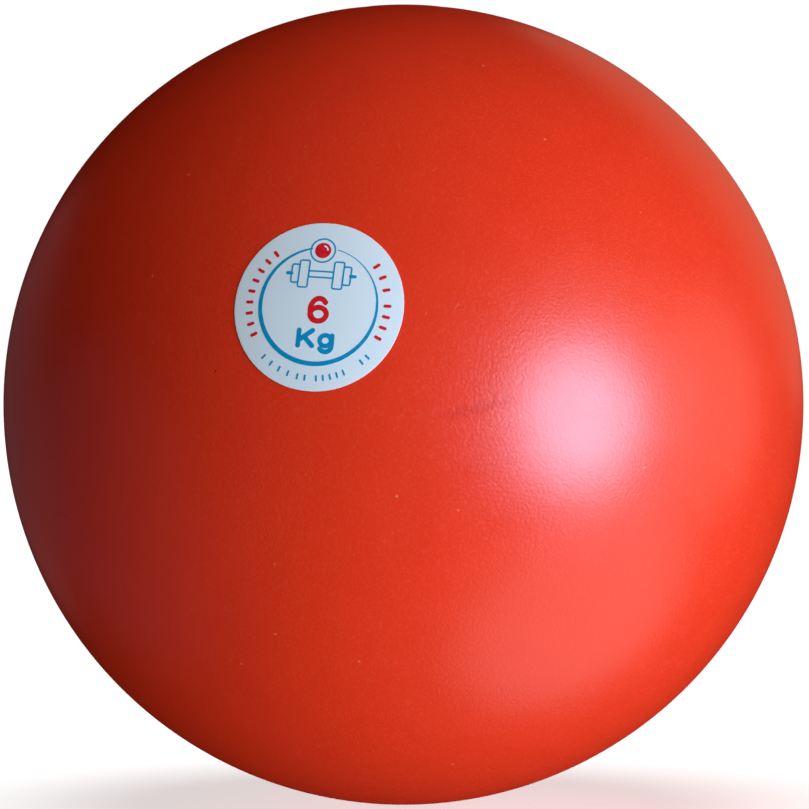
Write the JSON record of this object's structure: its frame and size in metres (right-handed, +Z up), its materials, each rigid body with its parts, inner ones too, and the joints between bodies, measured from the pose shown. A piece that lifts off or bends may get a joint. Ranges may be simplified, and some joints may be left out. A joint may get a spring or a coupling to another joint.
{
  "type": "medicine ball",
  "caption": "Soft moulded medicine ball, partly filled with gel, with a pull-out stopper in a rubber valve seat and a round weight label.",
  "frame": {"origin": "centre of the ball", "axes": "+Z up through the valve, -Y towards the front, where the label is; the rest point is straight below the centre"},
  "size_m": [0.2299, 0.23, 0.23],
  "materials": {
    "skin_pvc": "satin",
    "seat_rubber": "matte",
    "plug_plastic": "satin",
    "gel": "gloss",
    "label_vinyl": "satin"
  },
  "bodies": {
    "ball": {"shell": "skin_pvc", "valve_seat": "seat_rubber", "gel_filling": "gel", "label": "label_vinyl"},
    "plug": {"valve_plug": "plug_plastic"}
  },
  "joints": [
    {"name": "valve_plug_pull", "type": "slide", "parent": "ball", "child": "plug", "axis": [0, 0, 1], "range_m": [0, 0.014]}
  ]
}
